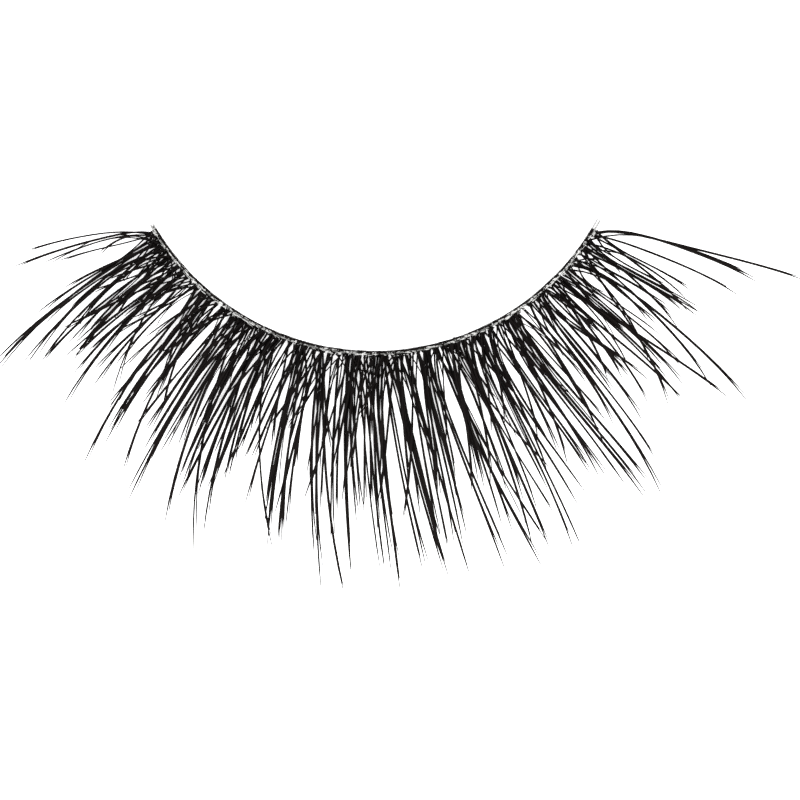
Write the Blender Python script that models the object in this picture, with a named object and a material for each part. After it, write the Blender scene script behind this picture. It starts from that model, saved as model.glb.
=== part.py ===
"""False eyelash strip, lying on its band with the lashes curling up.

Metres, +Z up. The band is an arc in plan, open towards +Y, and the fringe spreads away from the arc's centre.
Plan places are an angle along the band, measured at the arc's centre from -Y towards +X,
and a reach, measured outwards from the band's circle.
"""

from collections import namedtuple
from math import cos, exp, pi, radians, sin

import bmesh
import bpy
from mathutils import Matrix, Vector

# Band
BAND_RADIUS = 0.0161
BAND_LENGTH = 0.0330
THREAD_RADIUS = 0.00006
THREAD_SPACING = 0.00017
TAIL_LEFT = 0.0004
TAIL_RIGHT = 0.00075

# Root pieces under the threads, and the knots beside them
ROOT_THICKNESS = 0.00013
ROOT_RIM = 0.00004
KNOT_RADIUS = 0.00012
KNOT_BITE = 0.00006

# Fringe
LONGEST_REACH = 0.0145
LOCK_RADIUS = 0.00007
TIP_RADIUS = 0.00002
ROOT_PITCH = 0.00009
FLAT_REACH = 0.0038
CURL_RISE = 0.0050

# Clearances
THREAD_GAP = 0.00003
PIECE_GAP = 0.00005
LEVEL_GAP = 0.00003
LOCK_STAGGER = 0.0000025

# Shape of a lock
WAIST_SHARE = 0.35
SPRING_REACH = 0.0010
TAPER_POWER = 2.5
LOCK_STATIONS = (0.0, 0.1, 0.4, 0.7, 1.0)
LEFT_LEAN_LIMIT = -0.8

# Mesh density and grouping
KNOTS_IN_CLUSTER = 2
THREAD_STEPS = 48
THREAD_SIDES = 6
LOCK_SIDES = 3
KNOT_SIDES = 6
WELD = 1e-7

Knot = namedtuple("Knot", "place locks")
Lock = namedtuple("Lock", "waist tip reach")

# A row for each knot, from the left end to the right.
# First its place along the band, from -1 at the left end to 1 at the right end.
# Then its locks, each with three columns: how far the lock leans at its waist and at its tip,
# in degrees along the band from the knot, and its reach as a share of the longest.
KNOTS = (
    (-0.986, (-4.5, -7.9, 0.51), (-4.1, -6.5, 0.59), (-3.2, -5.0, 0.47)),
    (-0.969, (-2.4, -5.3, 0.41), (-0.1, -0.2, 0.60), (0.3, 2.8, 0.88)),
    (-0.952, (-0.8, -2.2, 0.45), (-0.4, 1.0, 0.86), (-0.1, 3.4, 0.74)),
    (-0.922, (-1.7, -1.2, 0.67), (-1.2, 1.4, 0.76), (-0.3, 2.3, 0.68)),
    (-0.899, (-1.1, 0.4, 0.50), (0.2, 1.7, 0.54), (0.4, 1.4, 0.71)),
    (-0.874, (-0.3, 0.7, 0.47), (0.1, 2.1, 0.55), (0.7, 2.5, 0.59)),
    (-0.835, (-1.5, -3.3, 0.45), (-1.1, -1.2, 0.54), (0.0, -0.6, 0.61)),
    (-0.818, (-0.7, -0.9, 0.59), (0.0, 2.8, 0.75), (1.2, 6.5, 0.58)),
    (-0.790, (-1.2, -0.8, 0.63), (-0.9, -0.2, 0.50), (1.2, 2.4, 0.61)),
    (-0.736, (-4.2, -5.0, 0.52), (-1.7, -2.3, 0.56), (-0.9, -0.6, 0.48), (1.8, 3.1, 0.64)),
    (-0.698, (-0.4, -1.7, 0.48), (0.0, 2.6, 0.87), (0.9, 2.5, 0.70)),
    (-0.670, (-0.6, -1.3, 0.62), (-0.2, 1.2, 0.70), (0.4, 1.6, 0.76), (1.4, 5.3, 0.80)),
    (-0.637, (0.0, 1.5, 0.48), (0.4, 0.2, 0.50)),
    (-0.612, (-2.3, -3.0, 0.61), (-0.4, -0.9, 0.53)),
    (-0.586, (-0.3, -1.3, 0.61), (0.4, 0.0, 0.61), (0.7, 0.4, 0.61)),
    (-0.560, (-0.5, -0.1, 0.68), (0.2, 1.1, 0.86), (0.6, 1.7, 0.89)),
    (-0.530, (-0.5, -0.6, 0.72), (0.4, 0.0, 0.61), (1.1, 4.0, 0.80), (3.0, 9.2, 0.96)),
    (-0.513, (-0.4, -0.6, 0.66), (-0.3, 0.9, 0.59), (0.2, 3.8, 0.90)),
    (-0.487, (-0.2, 0.2, 0.50), (0.5, 1.6, 0.72), (0.9, 2.4, 0.73)),
    (-0.440, (-1.9, -2.4, 0.48), (-1.0, -1.1, 0.62), (0.9, 2.0, 0.74)),
    (-0.421, (-1.4, -1.9, 0.60), (-0.6, -1.2, 0.79), (0.3, 3.3, 0.88)),
    (-0.399, (-1.6, -0.8, 0.72), (-0.2, 0.9, 0.71), (3.2, 10.4, 0.86)),
    (-0.380, (-1.3, -1.6, 0.56), (-0.6, 1.0, 0.64), (-0.2, 1.5, 0.62)),
    (-0.344, (-2.1, -2.5, 0.70), (-0.9, -1.2, 0.63)),
    (-0.325, (-1.0, -1.7, 0.51), (1.0, 2.7, 0.45)),
    (-0.295, (-0.6, -2.2, 0.53), (-0.1, -1.2, 0.52)),
    (-0.271, (-1.3, -1.5, 0.71), (0.0, 1.0, 0.68), (1.5, 3.7, 0.83)),
    (-0.257, (-0.5, 0.8, 0.76), (-0.1, 1.7, 0.85), (1.0, 3.3, 0.82)),
    (-0.216, (-2.0, -2.3, 0.63), (1.8, 5.2, 0.85), (2.8, 6.5, 0.99)),
    (-0.194, (-1.4, -0.1, 0.76), (-1.5, -1.7, 0.71), (1.7, 3.4, 0.69)),
    (-0.167, (-0.5, -0.2, 0.52), (1.2, 6.0, 0.99)),
    (-0.138, (-3.3, -6.1, 0.36), (-0.3, 0.7, 0.66), (1.1, 2.7, 0.79)),
    (-0.109, (0.3, 1.2, 0.66), (1.5, 3.6, 0.92)),
    (-0.083, (0.2, 1.9, 0.86), (0.6, 2.6, 0.70)),
    (-0.053, (-1.1, -1.2, 0.62), (-0.4, 1.3, 0.65), (1.2, 3.7, 0.89), (2.0, 4.2, 0.88)),
    (-0.010, (-2.5, -3.3, 0.52), (-1.8, -2.8, 0.48), (-0.9, -0.6, 0.66)),
    (0.007, (-0.3, 0.2, 0.73), (0.0, 1.8, 0.90), (0.3, 2.5, 0.89)),
    (0.026, (-0.5, 0.8, 0.68), (0.3, 1.5, 0.99)),
    (0.043, (0.8, 3.2, 0.90), (1.3, 3.8, 0.89), (2.6, 5.7, 0.92)),
    (0.080, (-2.7, -3.5, 0.52), (0.5, 1.7, 0.68), (1.1, 4.0, 0.95), (1.2, 3.7, 0.83)),
    (0.114, (-1.1, -1.5, 0.57), (1.9, 2.6, 0.83), (2.2, 4.5, 0.95)),
    (0.145, (-1.5, -4.3, 0.69), (-0.4, -0.1, 0.82)),
    (0.164, (0.3, 0.7, 0.81), (0.8, 1.6, 0.83), (1.1, 2.4, 0.79)),
    (0.199, (-1.6, -2.4, 0.63), (-0.4, 0.1, 0.63), (1.2, 3.8, 0.97)),
    (0.235, (-1.4, -1.5, 0.55), (-0.5, 2.3, 0.92), (2.2, 5.7, 1.00)),
    (0.269, (0.1, 0.1, 0.62), (0.4, 1.9, 0.83), (0.5, 5.1, 0.91)),
    (0.300, (-1.6, -1.0, 0.79), (-1.2, -3.4, 0.62), (0.6, 1.2, 0.66)),
    (0.319, (1.0, 6.2, 0.64), (1.2, 4.4, 0.81)),
    (0.358, (-1.8, -3.9, 0.62), (-1.0, -1.5, 0.90), (-0.7, -0.5, 0.72)),
    (0.382, (-1.8, -1.2, 0.94), (-1.0, -0.8, 0.77), (0.2, 1.4, 0.72), (1.4, 1.5, 0.98)),
    (0.417, (-0.2, 2.0, 0.83), (-0.1, 0.2, 0.98), (0.8, 3.4, 0.79), (2.9, 5.3, 0.74)),
    (0.462, (-1.9, -2.2, 0.64), (-1.5, -0.3, 0.57)),
    (0.486, (-0.8, -1.0, 0.59), (0.0, 1.7, 0.72)),
    (0.509, (-0.3, 1.6, 0.78), (0.3, 0.9, 0.77), (1.0, 2.9, 0.85)),
    (0.542, (0.0, 2.2, 0.94), (0.4, 2.7, 0.93), (1.2, 3.5, 0.89)),
    (0.574, (0.0, 1.9, 0.59), (1.1, 0.0, 0.66), (1.7, 3.1, 0.41)),
    (0.624, (-1.1, -2.3, 0.55), (-0.5, 0.7, 0.32)),
    (0.661, (-1.4, -2.7, 0.97), (-1.2, -2.4, 0.62), (0.0, -0.2, 0.43)),
    (0.680, (-1.7, -2.0, 0.83), (-0.6, -0.8, 0.51), (1.1, 4.2, 0.58)),
    (0.700, (-0.8, -1.2, 0.68), (0.8, 1.3, 0.51)),
    (0.743, (-0.3, -2.0, 0.50), (0.1, -1.6, 0.65), (0.5, 1.9, 0.72)),
    (0.777, (-0.3, -1.8, 0.45), (0.1, -0.2, 0.72), (0.6, 0.7, 0.62), (1.1, 3.9, 0.86)),
    (0.821, (-1.0, -1.0, 0.57), (-0.3, -1.0, 0.70), (0.3, 0.7, 0.63), (0.8, 2.0, 0.48)),
    (0.869, (0.6, -0.1, 0.41), (1.5, 0.0, 0.93), (2.3, 3.2, 0.46)),
    (0.913, (-4.3, -9.5, 0.71), (1.0, 1.8, 0.50)),
    (0.939, (-2.3, -5.4, 0.78), (0.0, 0.9, 0.56), (2.0, 2.1, 0.48)),
    (0.966, (-1.5, -3.6, 0.52), (-1.3, -0.1, 0.56)),
    (0.983, (0.2, 0.9, 0.48), (2.3, 3.8, 0.66)),
    (0.997, (4.2, 6.1, 0.68), (4.3, 5.7, 0.70), (4.8, 8.2, 0.88)),
)

# Sizes that follow from those above
HALF_SPAN = BAND_LENGTH / 2 / BAND_RADIUS
OUTER_THREAD_REACH = THREAD_SPACING - ROOT_RIM
INNER_THREAD_REACH = -ROOT_RIM
ROOT_START = INNER_THREAD_REACH - THREAD_RADIUS - ROOT_RIM
KNOT_REACH = OUTER_THREAD_REACH + THREAD_RADIUS + THREAD_GAP + KNOT_RADIUS
ROOT_END = KNOT_REACH - KNOT_RADIUS + KNOT_BITE
THREAD_HEIGHT = ROOT_THICKNESS + THREAD_GAP + THREAD_RADIUS
MOST_PIECES_IN_CLUSTER = 12
LOCK_FOOT = LOCK_RADIUS * cos(pi / LOCK_SIDES)
LEVEL_PITCH = LOCK_RADIUS + LOCK_FOOT + MOST_PIECES_IN_CLUSTER * LOCK_STAGGER + LEVEL_GAP
LEVELS = 4
KNOT_HEIGHT = LEVELS * LEVEL_PITCH


def clear_scene():
    """Removes every object of the open scene."""
    for obj in list(bpy.data.objects):
        bpy.data.objects.remove(obj, do_unlink=True)


def new_collection(name):
    """A collection of this name, linked to the scene."""
    collection = bpy.data.collections.new(name)
    bpy.context.scene.collection.children.link(collection)
    return collection


def new_material(name, colour, roughness, transmission=0.0):
    """A plain Principled material."""
    material = bpy.data.materials.new(name)
    material.use_nodes = True
    shader = material.node_tree.nodes["Principled BSDF"]
    shader.inputs["Base Color"].default_value = (*colour, 1.0)
    shader.inputs["Roughness"].default_value = roughness
    shader.inputs["Metallic"].default_value = 0.0
    shader.inputs["Transmission Weight"].default_value = transmission
    return material


def plan(angle, reach, height=0.0):
    """The point at this angle along the band and this reach outwards from it."""
    radius = BAND_RADIUS + reach
    return Vector((radius * sin(angle), -radius * cos(angle), height))


def curl(reach):
    """How far a lock has risen at this reach: flat near the band, then a parabola."""
    run = max(0.0, reach - FLAT_REACH) / (LONGEST_REACH - FLAT_REACH)
    return CURL_RISE * run**2


def lean_at(run, waist_run, tip_run, waist_lean, tip_lean):
    """How far a lock leans this far out from its root.

    It springs off sideways and settles within a few spring reaches, then runs on straight,
    so that it passes its waist and its tip at their own leans.
    """
    sprung, waist_sprung, tip_sprung = (1 - exp(-each / SPRING_REACH) for each in (run, waist_run, tip_run))
    share = waist_sprung * tip_run - tip_sprung * waist_run
    spring = (waist_lean * tip_run - tip_lean * waist_run) / share
    slope = (waist_sprung * tip_lean - tip_sprung * waist_lean) / share
    return spring * sprung + slope * run


def lock_path(root_angle, lock, level_height):
    """Points and radii along a lock, laid on the curl."""
    reach = lock.reach * LONGEST_REACH
    tip_run = reach - KNOT_REACH
    waist_run = WAIST_SHARE * reach - KNOT_REACH
    points, radii = [], []
    for station in LOCK_STATIONS:
        run = station * tip_run
        angle = root_angle + lean_at(run, waist_run, tip_run, lock.waist - root_angle, lock.tip - root_angle)
        points.append(plan(angle, KNOT_REACH + run, level_height + curl(KNOT_REACH + run)))
        radii.append(LOCK_RADIUS - (LOCK_RADIUS - TIP_RADIUS) * station**TAPER_POWER)
    return points, radii


def tube(name, points, radii, sides):
    """A closed mesh tube along these points, with this many flat sides, one of them underneath."""
    section = bpy.data.curves.new(f"{name}_section", "CURVE")
    ring = section.splines.new("POLY")
    ring.points.add(sides - 1)
    for number, corner in enumerate(ring.points):
        turn = pi / 2 + 2 * pi * number / sides
        corner.co = (cos(turn), sin(turn), 0.0, 1.0)
    ring.use_cyclic_u = True
    outline = bpy.data.objects.new(section.name, section)
    bpy.context.scene.collection.objects.link(outline)
    curve = bpy.data.curves.new(name, "CURVE")
    curve.dimensions = "3D"
    curve.twist_mode = "Z_UP"
    curve.bevel_mode = "OBJECT"
    curve.bevel_object = outline
    curve.use_fill_caps = True
    spline = curve.splines.new("POLY")
    spline.points.add(len(points) - 1)
    for target, point, radius in zip(spline.points, points, radii):
        target.co = (*point, 1.0)
        target.radius = radius
    wire = bpy.data.objects.new(name, curve)
    bpy.context.scene.collection.objects.link(wire)
    graph = bpy.context.evaluated_depsgraph_get()
    mesh = bpy.data.meshes.new_from_object(wire.evaluated_get(graph))
    bpy.data.objects.remove(wire, do_unlink=True)
    bpy.data.objects.remove(outline, do_unlink=True)
    return welded_object(name, mesh)


def welded_object(name, mesh):
    """An object of this mesh, with the loose rims of its caps joined to its sides."""
    shape = bmesh.new()
    shape.from_mesh(mesh)
    bmesh.ops.remove_doubles(shape, verts=shape.verts, dist=WELD)
    bmesh.ops.recalc_face_normals(shape, faces=shape.faces)
    shape.to_mesh(mesh)
    shape.free()
    obj = bpy.data.objects.new(name, mesh)
    bpy.context.scene.collection.objects.link(obj)
    return obj


def primitive(name, make):
    """An object of the primitive that make adds to an empty mesh."""
    mesh = bpy.data.meshes.new(name)
    shape = bmesh.new()
    make(shape)
    shape.to_mesh(mesh)
    shape.free()
    obj = bpy.data.objects.new(name, mesh)
    bpy.context.scene.collection.objects.link(obj)
    return obj


def root_piece(name, start_angle, end_angle):
    """The flat block of cut roots under the threads, between two angles along the band."""
    middle = (start_angle + end_angle) / 2
    length = (end_angle - start_angle) * BAND_RADIUS - PIECE_GAP
    depth = ROOT_END - ROOT_START
    centre = plan(middle, (ROOT_START + ROOT_END) / 2, ROOT_THICKNESS / 2)
    size = Matrix.Diagonal((length, depth, ROOT_THICKNESS, 1.0))
    place = Matrix.Translation(centre) @ Matrix.Rotation(middle, 4, "Z") @ size
    return primitive(name, lambda shape: bmesh.ops.create_cube(shape, size=1.0, matrix=place))


def knot(name, angle):
    """The short upright knot from which the locks fan out."""
    place = Matrix.Translation(plan(angle, KNOT_REACH, KNOT_HEIGHT / 2))

    def make(shape):
        bmesh.ops.create_cone(
            shape,
            cap_ends=True,
            segments=KNOT_SIDES,
            radius1=KNOT_RADIUS,
            radius2=KNOT_RADIUS,
            depth=KNOT_HEIGHT,
            matrix=place,
        )

    return primitive(name, make)


def lock(name, row, knot_angle, index, cluster_index, pieces_before):
    """One tapered lock. Crossing locks lie at different levels, so that neighbours stay clear."""
    count = len(row.locks)
    shape = row.locks[index]
    side_step = (index - (count - 1) / 2) * ROOT_PITCH / BAND_RADIUS
    leans_left = shape.waist < LEFT_LEAN_LIMIT
    level = cluster_index % 2 + 2 * leans_left
    height = LOCK_FOOT + level * LEVEL_PITCH + pieces_before * LOCK_STAGGER
    placed = Lock(
        knot_angle + radians(shape.waist),
        knot_angle + radians(shape.tip),
        shape.reach,
    )
    points, radii = lock_path(knot_angle + side_step, placed, height)
    return tube(name, points, radii, LOCK_SIDES)


def fuse(name, pieces, material, collection):
    """One solid made of these overlapping pieces."""
    base, *others = pieces
    for other in others:
        union = base.modifiers.new(other.name, "BOOLEAN")
        union.operation = "UNION"
        union.solver = "MANIFOLD"
        union.object = other
    bpy.context.view_layer.update()
    graph = bpy.context.evaluated_depsgraph_get()
    mesh = bpy.data.meshes.new_from_object(base.evaluated_get(graph))
    for piece in pieces:
        bpy.data.objects.remove(piece, do_unlink=True)
    mesh.name = name
    mesh.materials.clear()
    mesh.materials.append(material)
    solid = bpy.data.objects.new(name, mesh)
    collection.objects.link(solid)
    return solid


def band_thread(name, reach, material, collection):
    """A clear thread along the band, with its bare tails past the last roots."""
    radius = BAND_RADIUS + reach
    start = -HALF_SPAN - TAIL_LEFT / radius
    end = HALF_SPAN + TAIL_RIGHT / radius
    angles = [start + (end - start) * step / THREAD_STEPS for step in range(THREAD_STEPS + 1)]
    points = [plan(angle, reach, THREAD_HEIGHT) for angle in angles]
    obj = tube(name, points, [THREAD_RADIUS] * len(points), THREAD_SIDES)
    obj.data.materials.append(material)
    obj.data.shade_smooth()
    bpy.context.scene.collection.objects.unlink(obj)
    collection.objects.link(obj)
    return obj


def lash_clusters(material, collection):
    """The clusters of the fringe, each made of neighbouring knots on one root piece."""
    rows = [Knot(place, [Lock(*columns) for columns in locks]) for place, *locks in KNOTS]
    angles = [row.place * HALF_SPAN for row in rows]
    starts = [*range(0, len(rows) - 1, KNOTS_IN_CLUSTER), len(rows)]
    seams = [-HALF_SPAN] + [(angles[first - 1] + angles[first]) / 2 for first in starts[1:-1]] + [HALF_SPAN]
    clusters = []
    for cluster_index, (first, last) in enumerate(zip(starts, starts[1:])):
        name = f"lash_cluster_{cluster_index + 1:02d}"
        pieces = [root_piece(f"{name}_root", seams[cluster_index], seams[cluster_index + 1])]
        for row, angle in zip(rows[first:last], angles[first:last]):
            label = f"{name}_{len(pieces)}"
            pieces.append(knot(label, angle))
            for index in range(len(row.locks)):
                pieces.append(lock(f"{label}_{index}", row, angle, index, cluster_index, len(pieces)))
        clusters.append(fuse(name, pieces, material, collection))
    return clusters


def move_to_origin(objects):
    """Shifts the meshes in plan, so that the origin is under the middle of their box."""
    corners = [vertex.co for obj in objects for vertex in obj.data.vertices]
    middle_x = (min(co.x for co in corners) + max(co.x for co in corners)) / 2
    middle_y = (min(co.y for co in corners) + max(co.y for co in corners)) / 2
    shift = Matrix.Translation((-middle_x, -middle_y, 0.0))
    for obj in objects:
        obj.data.transform(shift)


def main():
    """Builds the strip."""
    clear_scene()
    collection = new_collection("false_eyelash_strip")
    hair = new_material("lash_hair", (0.012, 0.010, 0.010), 0.45)
    thread = new_material("clear_thread", (0.80, 0.82, 0.82), 0.2, transmission=0.8)
    objects = lash_clusters(hair, collection)
    objects.append(band_thread("band_thread_inner", INNER_THREAD_REACH, thread, collection))
    objects.append(band_thread("band_thread_outer", OUTER_THREAD_REACH, thread, collection))
    move_to_origin(objects)


main()
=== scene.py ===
"""Looks of the false eyelash strip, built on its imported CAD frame.

The strip lies on its band. The band is an arc open towards +Y, and the lashes fan outwards and curl up.
Places on the strip are given as an angle along the band and a reach outwards from the band's circle.
"""

import logging
import math
from collections.abc import Callable
from dataclasses import dataclass, field
from enum import Enum

import bpy
import numpy as np
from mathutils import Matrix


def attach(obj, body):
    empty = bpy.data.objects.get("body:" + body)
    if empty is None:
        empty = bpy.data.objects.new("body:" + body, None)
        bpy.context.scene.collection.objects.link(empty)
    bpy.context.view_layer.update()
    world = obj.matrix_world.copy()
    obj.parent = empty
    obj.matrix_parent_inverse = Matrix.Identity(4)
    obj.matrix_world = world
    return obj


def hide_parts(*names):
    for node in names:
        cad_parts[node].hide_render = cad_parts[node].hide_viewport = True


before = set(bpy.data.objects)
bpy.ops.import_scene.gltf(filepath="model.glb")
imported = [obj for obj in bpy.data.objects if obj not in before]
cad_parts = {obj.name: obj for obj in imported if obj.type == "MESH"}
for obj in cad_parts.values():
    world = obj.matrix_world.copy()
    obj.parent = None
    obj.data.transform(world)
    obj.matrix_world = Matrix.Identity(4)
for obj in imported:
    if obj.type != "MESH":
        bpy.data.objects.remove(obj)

LOG = logging.getLogger("eyelash_strip")
MILLIMETRE = 0.001

# What makes x squared times (1 - x) one at its fullest.
CUBIC_PEAK = 6.75

# A row for each knot, from the left end to the right.
# First its place along the band, from -1 at the left end to 1 at the right end.
# Then its locks, each with three columns: how far the lock leans at its waist and at its tip,
# in degrees along the band from the knot, and its reach as a share of the longest.
KNOTS = (
    (-0.986, (-4.5, -7.9, 0.51), (-4.1, -6.5, 0.59), (-3.2, -5.0, 0.47)),
    (-0.969, (-2.4, -5.3, 0.41), (-0.1, -0.2, 0.60), (0.3, 2.8, 0.88)),
    (-0.952, (-0.8, -2.2, 0.45), (-0.4, 1.0, 0.86), (-0.1, 3.4, 0.74)),
    (-0.922, (-1.7, -1.2, 0.67), (-1.2, 1.4, 0.76), (-0.3, 2.3, 0.68)),
    (-0.899, (-1.1, 0.4, 0.50), (0.2, 1.7, 0.54), (0.4, 1.4, 0.71)),
    (-0.874, (-0.3, 0.7, 0.47), (0.1, 2.1, 0.55), (0.7, 2.5, 0.59)),
    (-0.835, (-1.5, -3.3, 0.45), (-1.1, -1.2, 0.54), (0.0, -0.6, 0.61)),
    (-0.818, (-0.7, -0.9, 0.59), (0.0, 2.8, 0.75), (1.2, 6.5, 0.58)),
    (-0.790, (-1.2, -0.8, 0.63), (-0.9, -0.2, 0.50), (1.2, 2.4, 0.61)),
    (-0.736, (-4.2, -5.0, 0.52), (-1.7, -2.3, 0.56), (-0.9, -0.6, 0.48), (1.8, 3.1, 0.64)),
    (-0.698, (-0.4, -1.7, 0.48), (0.0, 2.6, 0.87), (0.9, 2.5, 0.70)),
    (-0.670, (-0.6, -1.3, 0.62), (-0.2, 1.2, 0.70), (0.4, 1.6, 0.76), (1.4, 5.3, 0.80)),
    (-0.637, (0.0, 1.5, 0.48), (0.4, 0.2, 0.50)),
    (-0.612, (-2.3, -3.0, 0.61), (-0.4, -0.9, 0.53)),
    (-0.586, (-0.3, -1.3, 0.61), (0.4, 0.0, 0.61), (0.7, 0.4, 0.61)),
    (-0.560, (-0.5, -0.1, 0.68), (0.2, 1.1, 0.86), (0.6, 1.7, 0.89)),
    (-0.530, (-0.5, -0.6, 0.72), (0.4, 0.0, 0.61), (1.1, 4.0, 0.80), (3.0, 9.2, 0.96)),
    (-0.513, (-0.4, -0.6, 0.66), (-0.3, 0.9, 0.59), (0.2, 3.8, 0.90)),
    (-0.487, (-0.2, 0.2, 0.50), (0.5, 1.6, 0.72), (0.9, 2.4, 0.73)),
    (-0.440, (-1.9, -2.4, 0.48), (-1.0, -1.1, 0.62), (0.9, 2.0, 0.74)),
    (-0.421, (-1.4, -1.9, 0.60), (-0.6, -1.2, 0.79), (0.3, 3.3, 0.88)),
    (-0.399, (-1.6, -0.8, 0.72), (-0.2, 0.9, 0.71), (3.2, 10.4, 0.86)),
    (-0.380, (-1.3, -1.6, 0.56), (-0.6, 1.0, 0.64), (-0.2, 1.5, 0.62)),
    (-0.344, (-2.1, -2.5, 0.70), (-0.9, -1.2, 0.63)),
    (-0.325, (-1.0, -1.7, 0.51), (1.0, 2.7, 0.45)),
    (-0.295, (-0.6, -2.2, 0.53), (-0.1, -1.2, 0.52)),
    (-0.271, (-1.3, -1.5, 0.71), (0.0, 1.0, 0.68), (1.5, 3.7, 0.83)),
    (-0.257, (-0.5, 0.8, 0.76), (-0.1, 1.7, 0.85), (1.0, 3.3, 0.82)),
    (-0.216, (-2.0, -2.3, 0.63), (1.8, 5.2, 0.85), (2.8, 6.5, 0.99)),
    (-0.194, (-1.4, -0.1, 0.76), (-1.5, -1.7, 0.71), (1.7, 3.4, 0.69)),
    (-0.167, (-0.5, -0.2, 0.52), (1.2, 6.0, 0.99)),
    (-0.138, (-3.3, -6.1, 0.36), (-0.3, 0.7, 0.66), (1.1, 2.7, 0.79)),
    (-0.109, (0.3, 1.2, 0.66), (1.5, 3.6, 0.92)),
    (-0.083, (0.2, 1.9, 0.86), (0.6, 2.6, 0.70)),
    (-0.053, (-1.1, -1.2, 0.62), (-0.4, 1.3, 0.65), (1.2, 3.7, 0.89), (2.0, 4.2, 0.88)),
    (-0.010, (-2.5, -3.3, 0.52), (-1.8, -2.8, 0.48), (-0.9, -0.6, 0.66)),
    (0.007, (-0.3, 0.2, 0.73), (0.0, 1.8, 0.90), (0.3, 2.5, 0.89)),
    (0.026, (-0.5, 0.8, 0.68), (0.3, 1.5, 0.99)),
    (0.043, (0.8, 3.2, 0.90), (1.3, 3.8, 0.89), (2.6, 5.7, 0.92)),
    (0.080, (-2.7, -3.5, 0.52), (0.5, 1.7, 0.68), (1.1, 4.0, 0.95), (1.2, 3.7, 0.83)),
    (0.114, (-1.1, -1.5, 0.57), (1.9, 2.6, 0.83), (2.2, 4.5, 0.95)),
    (0.145, (-1.5, -4.3, 0.69), (-0.4, -0.1, 0.82)),
    (0.164, (0.3, 0.7, 0.81), (0.8, 1.6, 0.83), (1.1, 2.4, 0.79)),
    (0.199, (-1.6, -2.4, 0.63), (-0.4, 0.1, 0.63), (1.2, 3.8, 0.97)),
    (0.235, (-1.4, -1.5, 0.55), (-0.5, 2.3, 0.92), (2.2, 5.7, 1.00)),
    (0.269, (0.1, 0.1, 0.62), (0.4, 1.9, 0.83), (0.5, 5.1, 0.91)),
    (0.300, (-1.6, -1.0, 0.79), (-1.2, -3.4, 0.62), (0.6, 1.2, 0.66)),
    (0.319, (1.0, 6.2, 0.64), (1.2, 4.4, 0.81)),
    (0.358, (-1.8, -3.9, 0.62), (-1.0, -1.5, 0.90), (-0.7, -0.5, 0.72)),
    (0.382, (-1.8, -1.2, 0.94), (-1.0, -0.8, 0.77), (0.2, 1.4, 0.72), (1.4, 1.5, 0.98)),
    (0.417, (-0.2, 2.0, 0.83), (-0.1, 0.2, 0.98), (0.8, 3.4, 0.79), (2.9, 5.3, 0.74)),
    (0.462, (-1.9, -2.2, 0.64), (-1.5, -0.3, 0.57)),
    (0.486, (-0.8, -1.0, 0.59), (0.0, 1.7, 0.72)),
    (0.509, (-0.3, 1.6, 0.78), (0.3, 0.9, 0.77), (1.0, 2.9, 0.85)),
    (0.542, (0.0, 2.2, 0.94), (0.4, 2.7, 0.93), (1.2, 3.5, 0.89)),
    (0.574, (0.0, 1.9, 0.59), (1.1, 0.0, 0.66), (1.7, 3.1, 0.41)),
    (0.624, (-1.1, -2.3, 0.55), (-0.5, 0.7, 0.32)),
    (0.661, (-1.4, -2.7, 0.97), (-1.2, -2.4, 0.62), (0.0, -0.2, 0.43)),
    (0.680, (-1.7, -2.0, 0.83), (-0.6, -0.8, 0.51), (1.1, 4.2, 0.58)),
    (0.700, (-0.8, -1.2, 0.68), (0.8, 1.3, 0.51)),
    (0.743, (-0.3, -2.0, 0.50), (0.1, -1.6, 0.65), (0.5, 1.9, 0.72)),
    (0.777, (-0.3, -1.8, 0.45), (0.1, -0.2, 0.72), (0.6, 0.7, 0.62), (1.1, 3.9, 0.86)),
    (0.821, (-1.0, -1.0, 0.57), (-0.3, -1.0, 0.70), (0.3, 0.7, 0.63), (0.8, 2.0, 0.48)),
    (0.869, (0.6, -0.1, 0.41), (1.5, 0.0, 0.93), (2.3, 3.2, 0.46)),
    (0.913, (-4.3, -9.5, 0.71), (1.0, 1.8, 0.50)),
    (0.939, (-2.3, -5.4, 0.78), (0.0, 0.9, 0.56), (2.0, 2.1, 0.48)),
    (0.966, (-1.5, -3.6, 0.52), (-1.3, -0.1, 0.56)),
    (0.983, (0.2, 0.9, 0.48), (2.3, 3.8, 0.66)),
    (0.997, (4.2, 6.1, 0.68), (4.3, 5.7, 0.70), (4.8, 8.2, 0.88)),
)


class Slot(Enum):
    """The record's material slots."""

    HAIR = "lash_hair"
    THREAD = "clear_thread"


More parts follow.
